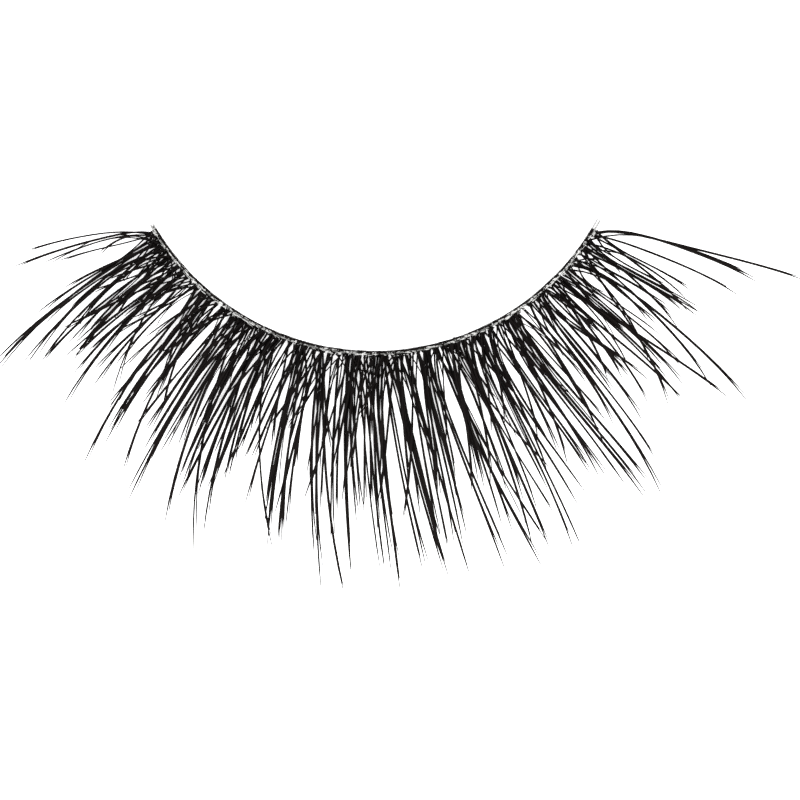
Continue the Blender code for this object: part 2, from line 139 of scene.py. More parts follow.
@dataclass(frozen=True)
class Surface:
    """A mesh as plain arrays.

    Attributes:
        points: Corner places, one row each.
        quads: Corner numbers of the four-sided faces.
        triangles: Corner numbers of the three-sided faces.
        along: How far along its strand each corner lies, from 0 to 1.
        tint: A number from 0 to 1 for each corner that is the same all over one strand.
    """

    points: np.ndarray
    quads: np.ndarray
    triangles: np.ndarray
    along: np.ndarray
    tint: np.ndarray

    def joined(self, other: "Surface") -> "Surface":
        """This surface and another one as a single surface."""
        first = len(self.points)
        return Surface(
            np.vstack([self.points, other.points]),
            np.vstack([self.quads, other.quads + first]),
            np.vstack([self.triangles, other.triangles + first]),
            np.concatenate([self.along, other.along]),
            np.concatenate([self.tint, other.tint]),
        )

    def piece(self, name: str, material: bpy.types.Material, slot: Slot) -> bpy.types.Object:
        """Makes the surface an object of the strip.

        Args:
            name: The object's name.
            material: What it is made of.
            slot: The record's slot that the material stands for; not used.

        Returns:
            The object, riding on the strip's body.
        """
        mesh = bpy.data.meshes.new(name)
        corners = np.concatenate([self.quads.ravel(), self.triangles.ravel()])
        sizes = np.concatenate([np.full(len(self.quads), 4), np.full(len(self.triangles), 3)])
        mesh.vertices.add(len(self.points))
        mesh.vertices.foreach_set("co", self.points.astype(np.float32).ravel())
        mesh.loops.add(len(corners))
        mesh.loops.foreach_set("vertex_index", corners.astype(np.int32))
        mesh.polygons.add(len(sizes))
        mesh.polygons.foreach_set("loop_start", (np.cumsum(sizes) - sizes).astype(np.int32))
        mesh.polygons.foreach_set("use_smooth", np.ones(len(sizes), dtype=bool))
        strand = mesh.uv_layers.new(name="strand")
        places = np.stack([self.along[corners], self.tint[corners]], axis=1)
        strand.data.foreach_set("uv", places.astype(np.float32).ravel())
        mesh.update(calc_edges=True)
        mesh.validate()
        mesh.materials.append(material)
        obj = bpy.data.objects.new(name, mesh)
        bpy.context.scene.collection.objects.link(obj)
        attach(obj, "root")
        return obj


def strands(paths: np.ndarray, radii: np.ndarray, sides: int, tint: np.ndarray) -> Surface:
    """Closed round strands along many paths at once.

    Each ring is a circle square to its path, a cosine share to the side and a sine share upwards.
    A pole at each end closes the strand with a fan of triangles.

    Args:
        paths: Middle points, as strands by rings by three.
        radii: The radius at each of those points.
        sides: How many corners a ring has.
        tint: A number for each strand.

    Returns:
        All the strands as one surface.
    """
    count, rings = radii.shape
    tangent = np.gradient(paths, axis=1)
    tangent /= np.linalg.norm(tangent, axis=2, keepdims=True)
    sideways = np.cross(tangent, np.array([0.0, 0.0, 1.0]))
    sideways /= np.linalg.norm(sideways, axis=2, keepdims=True)
    upwards = np.cross(sideways, tangent)
    turn = 2 * np.pi * np.arange(sides) / sides
    circle = (
        np.cos(turn)[None, None, :, None] * sideways[:, :, None]
        + np.sin(turn)[None, None, :, None] * upwards[:, :, None]
    )
    skin = paths[:, :, None] + radii[:, :, None, None] * circle
    poles = paths[:, [0, -1]]
    points = np.concatenate([skin.reshape(count, -1, 3), poles], axis=1)

    ring = np.arange(rings - 1)[:, None] * sides
    corner = np.arange(sides)[None]
    after = (corner + 1) % sides
    quads = np.stack([ring + corner, ring + sides + corner, ring + sides + after, ring + after], axis=2)
    last = (rings - 1) * sides
    start_pole = np.full(sides, rings * sides)
    end_pole = start_pole + 1
    triangles = np.concatenate(
        [
            np.stack([start_pole, corner[0], after[0]], axis=1),
            np.stack([end_pole, last + after[0], last + corner[0]], axis=1),
        ]
    )
    shift = (np.arange(count) * points.shape[1])[:, None, None]
    along = np.concatenate([np.repeat(np.linspace(0.0, 1.0, rings), sides), [0.0, 1.0]])
    return Surface(
        points.reshape(-1, 3),
        (quads.reshape(1, -1, 4) + shift).reshape(-1, 4),
        (triangles[None] + shift).reshape(-1, 3),
        np.tile(along, count),
        np.repeat(tint, points.shape[1]),
    )


class Shader:
    """Adds and joins the nodes of one node tree."""

    def __init__(self, tree: bpy.types.NodeTree) -> None:
        """Keeps the tree that the nodes go into."""
        self.tree = tree

    def add(self, kind: str, settings: dict | None = None, **inputs: object) -> bpy.types.Node:
        """Adds a node.

        Args:
            kind: Its type, without the words ShaderNode.
            settings: Values of the node's own properties.
            **inputs: Values of its sockets, or sockets to join to them.

        Returns:
            The node.
        """
        node = self.tree.nodes.new(f"ShaderNode{kind}")
        for name, value in (settings or {}).items():
            setattr(node, name, value)
        for name, value in inputs.items():
            socket = node.inputs[int(name[1:])] if name[1:].isdigit() else node.inputs[name.replace("_", " ")]
            if isinstance(value, bpy.types.NodeSocket):
                self.tree.links.new(value, socket)
            else:
                socket.default_value = value
        return node

    def sums(self, operation: str, first: object, second: object) -> bpy.types.NodeSocket:
        """The result of a sum of two values."""
        return self.add("Math", {"operation": operation}, _0=first, _1=second).outputs[0]


def new_material(name: str) -> tuple[bpy.types.Material, Shader, bpy.types.Node]:
    """An empty material with its Principled shader.

    Args:
        name: The material's name.

    Returns:
        The material, what adds nodes to it, and its Principled node.
    """
    material = bpy.data.materials.new(name)
    material.use_nodes = True
    shader = Shader(material.node_tree)
    return material, shader, material.node_tree.nodes["Principled BSDF"]


def new_group(name: str, outputs: dict[str, str]) -> tuple[Shader, bpy.types.Node]:
    """An empty shared effect.

    Args:
        name: The group's name.
        outputs: The kind of socket for each output.

    Returns:
        What adds nodes to the group, and the node that takes its results.
    """
    tree = bpy.data.node_groups.new(name, "ShaderNodeTree")
    for label, kind in outputs.items():
        tree.interface.new_socket(label, in_out="OUTPUT", socket_type=kind)
    return Shader(tree), tree.nodes.new("NodeGroupOutput")


@dataclass(frozen=True)
class HairFinish:
    """Near-black fibre with a soft sheen, a little warmer and lighter towards its tip.

    Attributes:
        root: Colour at the root.
        tip: Colour at the tip.
        roughness: Roughness of the darkest fibre.
        roughness_spread: How much rougher the lightest fibre is.
        sheen: The shader's specular level, low because the fibre is matt.
        fade_power: The power of the distance along a fibre that it grows lighter with.
        tint_share: How far a fibre's own tint can take it towards the tip's colour.
    """

    root: tuple[float, float, float, float] = (0.0014, 0.0011, 0.0011, 1.0)
    tip: tuple[float, float, float, float] = (0.006, 0.0045, 0.0042, 1.0)
    roughness: float = 0.42
    roughness_spread: float = 0.2
    sheen: float = 0.035
    fade_power: float = 1.5
    tint_share: float = 0.5

    def tone(self) -> bpy.types.NodeTree:
        """The colour and roughness of a fibre, from its place along it and its own tint.

        Returns:
            The shared effect, with a colour and a roughness.
        """
        outputs = {"Color": "NodeSocketColor", "Roughness": "NodeSocketFloat"}
        shader, result = new_group("strand_tone", outputs)
        place = shader.add("UVMap", {"uv_map": "strand"}).outputs["UV"]
        split = shader.add("SeparateXYZ", Vector=place)
        fade = shader.sums("POWER", split.outputs["X"], self.fade_power)
        own = shader.sums("MULTIPLY", split.outputs["Y"], self.tint_share)
        share = shader.sums("MINIMUM", shader.sums("ADD", fade, own), 1.0)
        blend = shader.add("Mix", {"data_type": "RGBA"}, _0=share, _6=self.root, _7=self.tip)
        rough = shader.sums("MULTIPLY", split.outputs["Y"], self.roughness_spread)
        rough = shader.sums("ADD", rough, self.roughness)
        shader.tree.links.new(blend.outputs[2], result.inputs["Color"])
        shader.tree.links.new(rough, result.inputs["Roughness"])
        return shader.tree

    def material(self) -> bpy.types.Material:
        """The hair's material."""
        material, shader, principled = new_material("lash_hair")
        tone = shader.add("Group", {"node_tree": self.tone()})
        shader.tree.links.new(tone.outputs["Color"], principled.inputs["Base Color"])
        shader.tree.links.new(tone.outputs["Roughness"], principled.inputs["Roughness"])
        principled.inputs["Specular IOR Level"].default_value = self.sheen
        return material


@dataclass(frozen=True)
class ClearFinish:
    """Clear thread or dried glue: see-through in the middle, grey where the eye grazes its side.

    Attributes:
        name: The material's name.
        colour: Colour of what isn't clear.
        middle: How solid it looks face on.
        rim: How much more solid its rims look.
        roughness: Roughness of its skin.
        facing_blend: Where the shader's weight turns from face on to grazing.
        rim_power: The power that keeps the rims narrow.
    """

    name: str
    colour: tuple[float, float, float, float]
    middle: float
    rim: float
    roughness: float
    facing_blend: float = 0.5
    rim_power: float = 2.0

    def material(self) -> bpy.types.Material:
        """The clear material."""
        material, shader, principled = new_material(self.name)
        facing = shader.add("LayerWeight", Blend=self.facing_blend).outputs["Facing"]
        rim = shader.sums("MULTIPLY", shader.sums("POWER", facing, self.rim_power), self.rim)
        solid = shader.sums("ADD", rim, self.middle)
        shader.tree.links.new(solid, principled.inputs["Alpha"])
        principled.inputs["Base Color"].default_value = self.colour
        principled.inputs["Roughness"].default_value = self.roughness
        return material


CLEAR_THREAD = ClearFinish("clear_thread", (0.14, 0.14, 0.135, 1.0), middle=0.6, rim=0.3, roughness=0.12)
GLUED_THREAD = ClearFinish(
    "glue_coated_thread", (0.12, 0.12, 0.115, 1.0), middle=0.6, rim=0.3, roughness=0.2
)
# Real dried glue, but its near-white colour is a painted highlight, where the glossy clear glue would catch
# the light.
GLUE_WITH_PAINTED_HIGHLIGHT = ClearFinish("dried_glue_painted_highlight", (0.85, 0.85, 0.83, 1.0), middle=0.3, rim=0.25, roughness=0.25)


@dataclass(frozen=True)
class Band:
    """Sizes of the band, and where the middle of its arc lies.

    Attributes:
        centre: The arc's centre in plan.
        radius: The arc's radius.
        length: The band's length along its arc.
        thread_radius: Half a thread's thickness.
        thread_height: How high the threads' middles lie.
        inner_thread: The inner thread's reach.
        outer_thread: The outer thread's reach.
        tail_left: Bare thread past the left end.
        tail_right: Bare thread past the right end.
        knot_reach: How far outwards the knots are.
    """

    centre: tuple[float, float]
    radius: float = 16.1 * MILLIMETRE
    length: float = 33.0 * MILLIMETRE
    thread_radius: float = 0.06 * MILLIMETRE
    thread_height: float = 0.22 * MILLIMETRE
    inner_thread: float = -0.04 * MILLIMETRE
    outer_thread: float = 0.13 * MILLIMETRE
    tail_left: float = 0.4 * MILLIMETRE
    tail_right: float = 0.75 * MILLIMETRE
    knot_reach: float = 0.34 * MILLIMETRE

    @property
    def half_span(self) -> float:
        """Half the angle that the band takes up."""
        return self.length / 2 / self.radius

    def plan(self, angle: np.ndarray, reach: np.ndarray, height: np.ndarray | float = 0.0) -> np.ndarray:
        """Points at these angles along the band, reaches outwards and heights.

        Args:
            angle: Angles from the middle of the band, towards +X.
            reach: Distances outwards from the band's circle.
            height: Heights above the table.

        Returns:
            The points, with three columns last.
        """
        angle, reach, height = np.broadcast_arrays(angle, reach, height)
        out = self.radius + reach
        return np.stack(
            [self.centre[0] + out * np.sin(angle), self.centre[1] - out * np.cos(angle), height], axis=-1
        )


def arc_centre(node: str) -> tuple[float, float]:
    """The centre of the circle that best fits a thread's corners in plan.

    On a circle, x squared plus y squared equals twice the centre's share of x and y plus a constant, which is
    a plain least-squares problem.

    Args:
        node: The CAD node of the thread.

    Returns:
        The centre's X and Y.
    """
    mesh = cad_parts[node].data
    corners = np.empty(len(mesh.vertices) * 3)
    mesh.vertices.foreach_get("co", corners)
    world = np.array(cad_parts[node].matrix_world)
    plan = (corners.reshape(-1, 3) @ world[:3, :3].T + world[:3, 3])[:, :2]
    terms = np.column_stack([2 * plan, np.ones(len(plan))])
    answer = np.linalg.lstsq(terms, (plan**2).sum(axis=1), rcond=None)[0]
    return float(answer[0]), float(answer[1])


@dataclass
class Threads:
    """The two clear threads of the band, with their bare tails.

    Attributes:
        band: The band's sizes.
        inner: Finish of the inner thread.
        outer: Finish of the outer thread.
        rings: How many rings a thread has.
        sides: How many corners a ring has.
        sway: How far a thread's long waves stray from the arc.
        long_wave: How many radians a long wave turns through for each radian of the band.
        short_wave: The same for a short wave.
        short_share: How high the short waves are, as a share of the long ones.
        inner_phase: Where the inner thread's waves start.
        outer_phase: Where the outer thread's waves start.
    """

    band: Band
    inner: ClearFinish
    outer: ClearFinish
    rings: int = 360
    sides: int = 12
    sway: float = 0.008 * MILLIMETRE
    long_wave: float = 23.0
    short_wave: float = 61.0
    short_share: float = 0.6
    inner_phase: float = 0.4
    outer_phase: float = 2.1

    def path(self, reach: float, phase: float) -> np.ndarray:
        """The middle of a thread: an arc with a slight sway, made of two sine waves.

        Args:
            reach: The thread's reach.
            phase: Where its sway starts.

        Returns:
            Points along the thread.
        """
        band = self.band
        out = band.radius + reach
        start = -band.half_span - band.tail_left / out
        end = band.half_span + band.tail_right / out
        angle = np.linspace(start, end, self.rings)
        long_waves = np.sin(self.long_wave * angle + phase)
        short_waves = self.short_share * np.sin(self.short_wave * angle + 2 * phase)
        return band.plan(angle, reach + self.sway * (long_waves + short_waves), band.thread_height)

    def build(self) -> list[bpy.types.Object]:
        """Makes both threads."""
        made = []
        for name, finish, reach, phase in (
            ("band_thread_inner", self.inner, self.band.inner_thread, self.inner_phase),
            ("band_thread_outer", self.outer, self.band.outer_thread, self.outer_phase),
        ):
            path = self.path(reach, phase)[None]
            radii = np.full(path.shape[:2], self.band.thread_radius)
            surface = strands(path, radii, self.sides, np.zeros(1))
            thread = surface.piece(f"{name}_clear", finish.material(), Slot.THREAD)
            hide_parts(name)
            made.append(thread)
        return made


@dataclass
class Glue:
    """Short runs of dried clear glue along the outer thread and the roots beside it, drawn pale as a painted
    highlight on the glue.

    Attributes:
        band: The band's sizes.
        finish: Finish of the glue, whose pale near-white colour is a painted highlight.
        count: How many runs there are.
        reach: How far out they lie, on average.
        spread: How far they stray from that, on average.
        slant: How far each end of a run strays besides.
        proud: How high their middles lie over the threads' tops.
        shortest: The shortest run's length.
        longest: The longest run's length.
        thinnest: The thinnest run's radius.
        thickest: The thickest run's radius.
        end_share: How thick the ends of a run are, as a share of its middle.
        rings: How many rings a run has.
        sides: How many corners a ring has.
        seed: Starts the source of chance.
    """

    band: Band
    finish: ClearFinish
    count: int = 260
    reach: float = 0.15 * MILLIMETRE
    spread: float = 0.07 * MILLIMETRE
    slant: float = 0.03 * MILLIMETRE
    proud: float = 0.02 * MILLIMETRE
    shortest: float = 0.12 * MILLIMETRE
    longest: float = 0.5 * MILLIMETRE
    thinnest: float = 0.015 * MILLIMETRE
    thickest: float = 0.045 * MILLIMETRE
    end_share: float = 0.25
    rings: int = 7
    sides: int = 5
    seed: int = 12

    def build(self) -> bpy.types.Object:
        """Makes all the runs as one object; each is straight, and as thick as half a sine wave along it."""
        band, chance = self.band, np.random.default_rng(self.seed)
        t = np.linspace(0.0, 1.0, self.rings)[None]
        middle = chance.uniform(-band.half_span, band.half_span, self.count)[:, None]
        length = chance.uniform(self.shortest, self.longest, self.count)[:, None]
        reach = self.reach + chance.normal(0.0, self.spread, (self.count, 1))
        reach = reach + chance.normal(0.0, self.slant, (self.count, 2))
        path = band.plan(
            middle + length * (t - 0.5) / band.radius,
            reach[:, :1] * (1 - t) + reach[:, 1:] * t,
            band.thread_height + band.thread_radius + self.proud,
        )
        radii = chance.uniform(self.thinnest, self.thickest, self.count)[:, None]
        radii = radii * (self.end_share + (1 - self.end_share) * np.sin(np.pi * t))
        surface = strands(path, radii, self.sides, np.zeros(self.count))
        # The runs are real glue; their pale colour is a painted highlight.
        return surface.piece("glue_runs_painted_highlight", self.finish.material(), Slot.THREAD)


@dataclass(frozen=True)
class FringeSizes:
    """Sizes of the fringe. A range is the least and the most.

    Attributes:
        longest: The longest lash's reach.
        flat: How far out the lashes lie flat.
        rise: How high the longest tip is.
        waist: Where a lock's waist is, as a share of its reach.
        spring: How far out a lash takes to settle after springing off sideways.
        root_pitch: Spacing of a knot's locks at their roots.
        foot: Height of the lowest locks.
        level_pitch: Step from one level of locks to the next.
        left_lean: Locks that lean further left than this many degrees lie two levels up.
        crossing: The share of locks whose knot sends one more pair of fibres across its neighbours.
        crossing_left: The share of those pairs that cross to the left.
        crossing_waist: Range of the degrees that such a pair leans at its waist.
        crossing_tip: The same at its tip.
        crossing_level: The highest level that it lies on.
        crossing_reach: Range of its reach, as a share of its lock's.
        wisp: The share of locks that have a fine, short hair beside them.
        wisp_stray: How far such a hair strays from its lock, on average.
        wisp_shorter: Range of how much shorter it is, as a share of the lock.
        second_shorter: Range of how much shorter the second fibre of a pair is, likewise.
        fibre: The radius of a pair's first fibre at its root.
        companion: How thick the second fibre is, as a share of the first.
        fine: How thick the fine hairs are, likewise.
        thickness: Range of a fibre's own thickness, as a share of the usual one.
        fibre_tip: The first fibre's radius near its tip.
        taper: The power of the distance along a fibre that it thins with, so that it stays full for longer.
        point: The radius of a fibre's very end, as a share of the radius near its tip.
        long_gain: How much thicker a lash is for each share of the longest reach that it is longer.
        usual_reach: The reach of a usual lash, as a share of the longest.
        swelling: How much thicker the glue makes a fibre's root, as a share.
        swelling_length: How far out that thickness takes to fade.
        root_spread: How far a pair's root strays along the band from its lock's place, on average.
        straddling: The share of pairs whose second fibre springs from the next knot.
        knot_pitch: How far away that knot is.
        joining_power: The power that a root's stray fades with on the way to the waist.
        waist_gap: How far apart a pair's fibres are at the waist.
        fibre_step: How much higher the second fibre of a pair lies.
        stray: How far a fibre strays from its place in the lock, on average.
        bow: How far a pair bends sideways between its ends, on average.
        droop: How far the lashes at the ends of the band bend along it, as a share of their length.
        tip_fan: How far apart the tips of a usual pair are.
        fan_most: How much further the widest pair parts, as a share of the usual one.
        fan_power: The power of the distance along a pair that it parts with.
        overshoot: How much longer a fibre is than its lock, whose fine end can't be seen.
        ring_power: The power that crowds a fibre's rings towards its root.
        foot_places: Where the three rings before a knot are, as shares of the way out to it.
        foot_lifts: How much of a fibre's height above the lowest one they have.
        foot_stray: How far a fibre's start strays along the band, on average.
        foot_start: The reach that fibres start at, under the inner thread.
    """

    longest: float = 14.5 * MILLIMETRE
    flat: float = 3.8 * MILLIMETRE
    rise: float = 5.0 * MILLIMETRE
    waist: float = 0.35
    spring: float = 1.3 * MILLIMETRE
    root_pitch: float = 0.09 * MILLIMETRE
    foot: float = 0.09 * MILLIMETRE
    level_pitch: float = 0.165 * MILLIMETRE
    left_lean: float = -0.8
    crossing: float = 0.4
    crossing_left: float = 0.7
    crossing_waist: tuple[float, float] = (0.7, 2.4)
    crossing_tip: tuple[float, float] = (1.5, 5.0)
    crossing_level: float = 3.5
    crossing_reach: tuple[float, float] = (0.4, 0.75)
    wisp: float = 0.2
    wisp_stray: float = 0.2 * MILLIMETRE
    wisp_shorter: tuple[float, float] = (0.15, 0.5)
    second_shorter: tuple[float, float] = (0.0, 0.1)
    fibre: float = 0.055 * MILLIMETRE
    companion: float = 0.85
    fine: float = 0.6
    thickness: tuple[float, float] = (0.9, 1.12)
    fibre_tip: float = 0.041 * MILLIMETRE
    taper: float = 12.0
    point: float = 0.55
    long_gain: float = 0.5
    usual_reach: float = 0.68
    swelling: float = 0.2
    swelling_length: float = 0.6 * MILLIMETRE
    root_spread: float = 0.15 * MILLIMETRE
    straddling: float = 0.6
    knot_pitch: float = 0.48 * MILLIMETRE
    joining_power: float = 1.5
    waist_gap: float = 0.035 * MILLIMETRE
    fibre_step: float = 0.045 * MILLIMETRE
    stray: float = 0.012 * MILLIMETRE
    bow: float = 0.05 * MILLIMETRE
    droop: float = 0.022
    tip_fan: float = 0.15 * MILLIMETRE
    fan_most: float = 1.5
    fan_power: float = 6.0
    overshoot: float = 1.045
    ring_power: float = 1.15
    foot_places: tuple[float, float, float] = (0.0, 0.45, 0.8)
    foot_lifts: tuple[float, float, float] = (0.0, 0.05, 0.5)
    foot_stray: float = 0.15 * MILLIMETRE
    foot_start: float = -0.03 * MILLIMETRE


@dataclass(frozen=True)
class ShortHairSizes:
    """Sizes of the short hairs at the band: cut ends along the inner thread, and stubs from the knots to it.

    Attributes:
        cut_ends: How many cut ends a knot has.
        cut_rings: How many rings a cut end has.
        cut_reach: How far outwards of the inner thread's middle they lie.
        cut_stray: How far either end of one strays from there, on average.
        cut_radius: The least and the most of their radius, which changes from ring to ring.
        cut_overlap: How far they run past the middle between two knots.
        stubs: How many stubs a knot has.
        stub_rings: How many rings a stub has.
        stub_radius: Half a stub's thickness.
        stub_start_stray: How far along the band a stub's start strays from its knot, on average.
        stub_end_stray: The same for its end at the inner thread.
        stub_start: Height of its start.
        stub_under: Height of its end where it runs under the outer thread.
        stub_over: Height of its end where it runs over the outer thread.
        tint: The lightest tint of a short hair.
    """

    cut_ends: int = 2
    cut_rings: int = 7
    cut_reach: float = 0.02 * MILLIMETRE
    cut_stray: float = 0.02 * MILLIMETRE
    cut_radius: tuple[float, float] = (0.02 * MILLIMETRE, 0.055 * MILLIMETRE)
    cut_overlap: float = 0.02 * MILLIMETRE
    stubs: int = 3
    stub_rings: int = 5
    stub_radius: float = 0.042 * MILLIMETRE
    stub_start_stray: float = 0.09 * MILLIMETRE
    stub_end_stray: float = 0.16 * MILLIMETRE
    stub_start: float = 0.16 * MILLIMETRE
    stub_under: float = 0.06 * MILLIMETRE
    stub_over: float = 0.31 * MILLIMETRE
    tint: float = 0.4


# What the fringe keeps of a lock: its cluster and knot, its root's place beside the knot, its level,
# its leans at the waist and the tip, and its reach.
LOCK_COLUMNS = [
    ("cluster", int),
    ("knot", float),
    ("side", float),
    ("level", float),
    ("waist", float),
    ("tip", float),
    ("reach", float),
]


def per_pair(draw: Callable[..., np.ndarray], first: float, second: float, many: int) -> np.ndarray:
    """Random numbers that both fibres of a pair share.

    Args:
        draw: The kind of chance.
        first: Its first setting: the middle or the least.
        second: Its second setting: the spread or the most.
        many: How many fibres there are.

    Returns:
        A number for each fibre.
    """
    return draw(first, second, (many + 1) // 2).repeat(2)[:many]


@dataclass
class Fringe:
    """The lashes: fibres in locks, tied at the knots, and their cut ends on the inner thread.

    Attributes:
        band: The band's sizes.
        finish: Finish of the hair.
        sizes: The fringe's sizes.
        short: Sizes of the short hairs at the band.
        knots_in_cluster: How many knots a cluster has.
        rings: How many rings a fibre has outwards of its knot.
        sides: How many corners a ring has.
        seed: Starts the source of chance.
        band_gaps: Where the cut ends leave the inner thread bare, in degrees from the middle.
        band_gap_width: How wide those places are.
    """

    band: Band
    finish: HairFinish
    sizes: FringeSizes = field(default_factory=FringeSizes)
    short: ShortHairSizes = field(default_factory=ShortHairSizes)
    knots_in_cluster: int = 2
    rings: int = 13
    sides: int = 4
    seed: int = 864
    band_gaps: tuple[float, ...] = (-49.3, -25.5, -4.0, 51.3)
    band_gap_width: float = 0.13 * MILLIMETRE

    def __post_init__(self) -> None:
        """Starts the source of small irregularities."""
        self.chance = np.random.default_rng(self.seed)

    @property
    def knot_angles(self) -> np.ndarray:
        """The angle of each knot along the band."""
        return np.array([row[0] for row in KNOTS]) * self.band.half_span

    def cluster_of(self, knot: int) -> int:
        """The cluster that a knot belongs to; the last cluster also takes the odd knot out."""
        return min(knot // self.knots_in_cluster, (len(KNOTS) - 1) // self.knots_in_cluster - 1)

    def locks(self) -> np.ndarray:
        """The table's locks, a record each, with angles in radians and lengths in metres."""
        sizes, records = self.sizes, []
        for number, (place, *locks) in enumerate(KNOTS):
            cluster, knot = self.cluster_of(number), place * self.band.half_span
            for index, (waist, tip, reach) in enumerate(locks):
                side = (index - (len(locks) - 1) / 2) * sizes.root_pitch
                level = cluster % 2 + 2 * (waist < sizes.left_lean)
                waist, tip = knot + math.radians(waist), knot + math.radians(tip)
                records.append((cluster, knot, side, level, waist, tip, reach * sizes.longest))
        return np.array(records, dtype=LOCK_COLUMNS)

    def curl(self, reach: np.ndarray) -> np.ndarray:
        """How far a lash has risen at this reach: flat near the band, then a parabola."""
        run = np.maximum(0.0, reach - self.sizes.flat) / (self.sizes.longest - self.sizes.flat)
        return self.sizes.rise * run**2

    def lean_at(self, run: np.ndarray, waist: np.ndarray, tip: np.ndarray) -> np.ndarray:
        """How far lashes lean at places along them.

        A lash springs off sideways and settles by an exponential, then runs on straight.
        The spring and the slope are what two linear equations give, one for the waist and one for the tip.

        Args:
            run: Distances out from the root, as lashes by rings.
            waist: Each lash's distance out and its lean at the waist, as two rows.
            tip: The same at the tip.

        Returns:
            The leans, as lashes by rings.
        """
        settle = self.sizes.spring
        waist_sprung, tip_sprung = 1 - np.exp(-waist[0] / settle), 1 - np.exp(-tip[0] / settle)
        share = waist_sprung * tip[0] - tip_sprung * waist[0]
        spring = (waist[1] * tip[0] - tip[1] * waist[0]) / share
        slope = (waist_sprung * tip[1] - tip_sprung * waist[1]) / share
        return spring[:, None] * (1 - np.exp(-run / settle)) + slope[:, None] * run

    def fibres(self, locks: np.ndarray) -> Surface:
        """The fibres of these locks: pairs that part at their tips, and a few fine short hairs.

        A pair shares a bow, half a sine wave, and a stray of the root that fades with a power of the distance
        left to the waist. Some second fibres spring from the next knot. The pair parts with a high power of
        the distance along it. The droop is a cubic, nothing at both ends and fullest two thirds of the way.

        Args:
            locks: The locks' records.

        Returns:
            All the fibres as one surface.
        """
        sizes, chance, band = self.sizes, self.chance, self.band
        crossers = self.crossers(locks[chance.random(len(locks)) < sizes.crossing])
        wisps = locks[chance.random(len(locks)) < sizes.wisp]
        lock = np.concatenate([np.repeat(np.concatenate([locks, crossers]), 2), wisps])
        many = len(lock)
        fine = np.arange(many) >= many - len(wisps)
        second = (np.arange(many) % 2).astype(bool) | fine
        beside = np.where(second, 0.5, -0.5)

        root_angle = lock["knot"] + lock["side"] / band.radius
        wisp_shorter = chance.uniform(*sizes.wisp_shorter, many)
        second_shorter = chance.uniform(*sizes.second_shorter, many) * second
        reach = lock["reach"] * (sizes.overshoot - np.where(fine, wisp_shorter, second_shorter))
        waist_reach = sizes.waist * lock["reach"]
        spread = beside * sizes.waist_gap + chance.normal(0.0, sizes.stray, many)
        spread += fine * chance.normal(0.0, sizes.wisp_stray, many)
        waist_lean = lock["waist"] + spread / (band.radius + waist_reach) - root_angle
        tip_lean = lock["tip"] + spread / (band.radius + lock["reach"]) - root_angle

        along = np.linspace(0.0, 1.0, self.rings) ** sizes.ring_power
        run = along[None] * (reach - band.knot_reach)[:, None]
        lean = self.lean_at(
            run,
            np.stack([waist_reach - band.knot_reach, waist_lean]),
            np.stack([lock["reach"] - band.knot_reach, tip_lean]),
        )

        root = per_pair(chance.normal, 0.0, sizes.root_spread, many)
        straddle = second & (chance.random(many) < sizes.straddling)
        root += straddle * np.where(chance.random(many) < 0.5, -1.0, 1.0) * sizes.knot_pitch
        start_angle = np.clip(root_angle + root / band.radius, -band.half_span, band.half_span)
        root = (start_angle - root_angle) * band.radius
        joined = np.maximum(0.0, 1 - run / waist_reach[:, None]) ** sizes.joining_power
        bow = per_pair(chance.normal, 0.0, sizes.bow, many)
        droop = sizes.droop * reach * np.sin(lock["knot"]) / np.sin(band.half_span)
        fan = beside * sizes.tip_fan * per_pair(chance.uniform, 0.0, sizes.fan_most, many)
        aside = root[:, None] * joined + bow[:, None] * np.sin(np.pi * along)
        aside += droop[:, None] * CUBIC_PEAK * along**2 * (1 - along)
        aside += fan[:, None] * along**sizes.fan_power

        level = sizes.foot + lock["level"] * sizes.level_pitch + second * sizes.fibre_step
        out = band.knot_reach + run
        angle = root_angle[:, None] + lean + aside / (band.radius + out)
        path = band.plan(angle, out, level[:, None] + self.curl(out / sizes.overshoot))
        path = np.concatenate([self.feet(start_angle, level), path], axis=1)
        thick = np.where(fine, sizes.fine, np.where(second, sizes.companion, 1.0))
        thick = thick * chance.uniform(*sizes.thickness, many)
        radii = self.fibre_radii(along, run, lock["reach"], thick)
        return strands(path, radii, self.sides, chance.random(many))

    def fibre_radii(
        self, along: np.ndarray, run: np.ndarray, reach: np.ndarray, thick: np.ndarray
    ) -> np.ndarray:
        """How thick the fibres are at their rings.

        A fibre thins with a high power of the distance along it to nearly a point, and swells by an
        exponential where the glue holds its root. Up to the knot it stays the same.

        Args:
            along: Shares of the way along a fibre, one for each ring.
            run: Distances out from the knot, as fibres by rings.
            reach: The reach of each fibre's lock.
            thick: How thick each fibre is, as a share of a first fibre.

        Returns:
            The radii, as fibres by rings, with the rings before the knot first.
        """
        sizes = self.sizes
        thinning = sizes.fibre_tip + (sizes.fibre - sizes.fibre_tip) * (1 - along**sizes.taper)
        thinning[-1] *= sizes.point
        swollen = 1 + sizes.swelling * np.exp(-run / sizes.swelling_length)
        foot = np.full((len(run), len(sizes.foot_places)), sizes.fibre * (1 + sizes.swelling))
        gain = 1 + sizes.long_gain * (reach / sizes.longest - sizes.usual_reach)
        return np.concatenate([foot, thinning[None] * swollen], axis=1) * (thick * gain)[:, None]

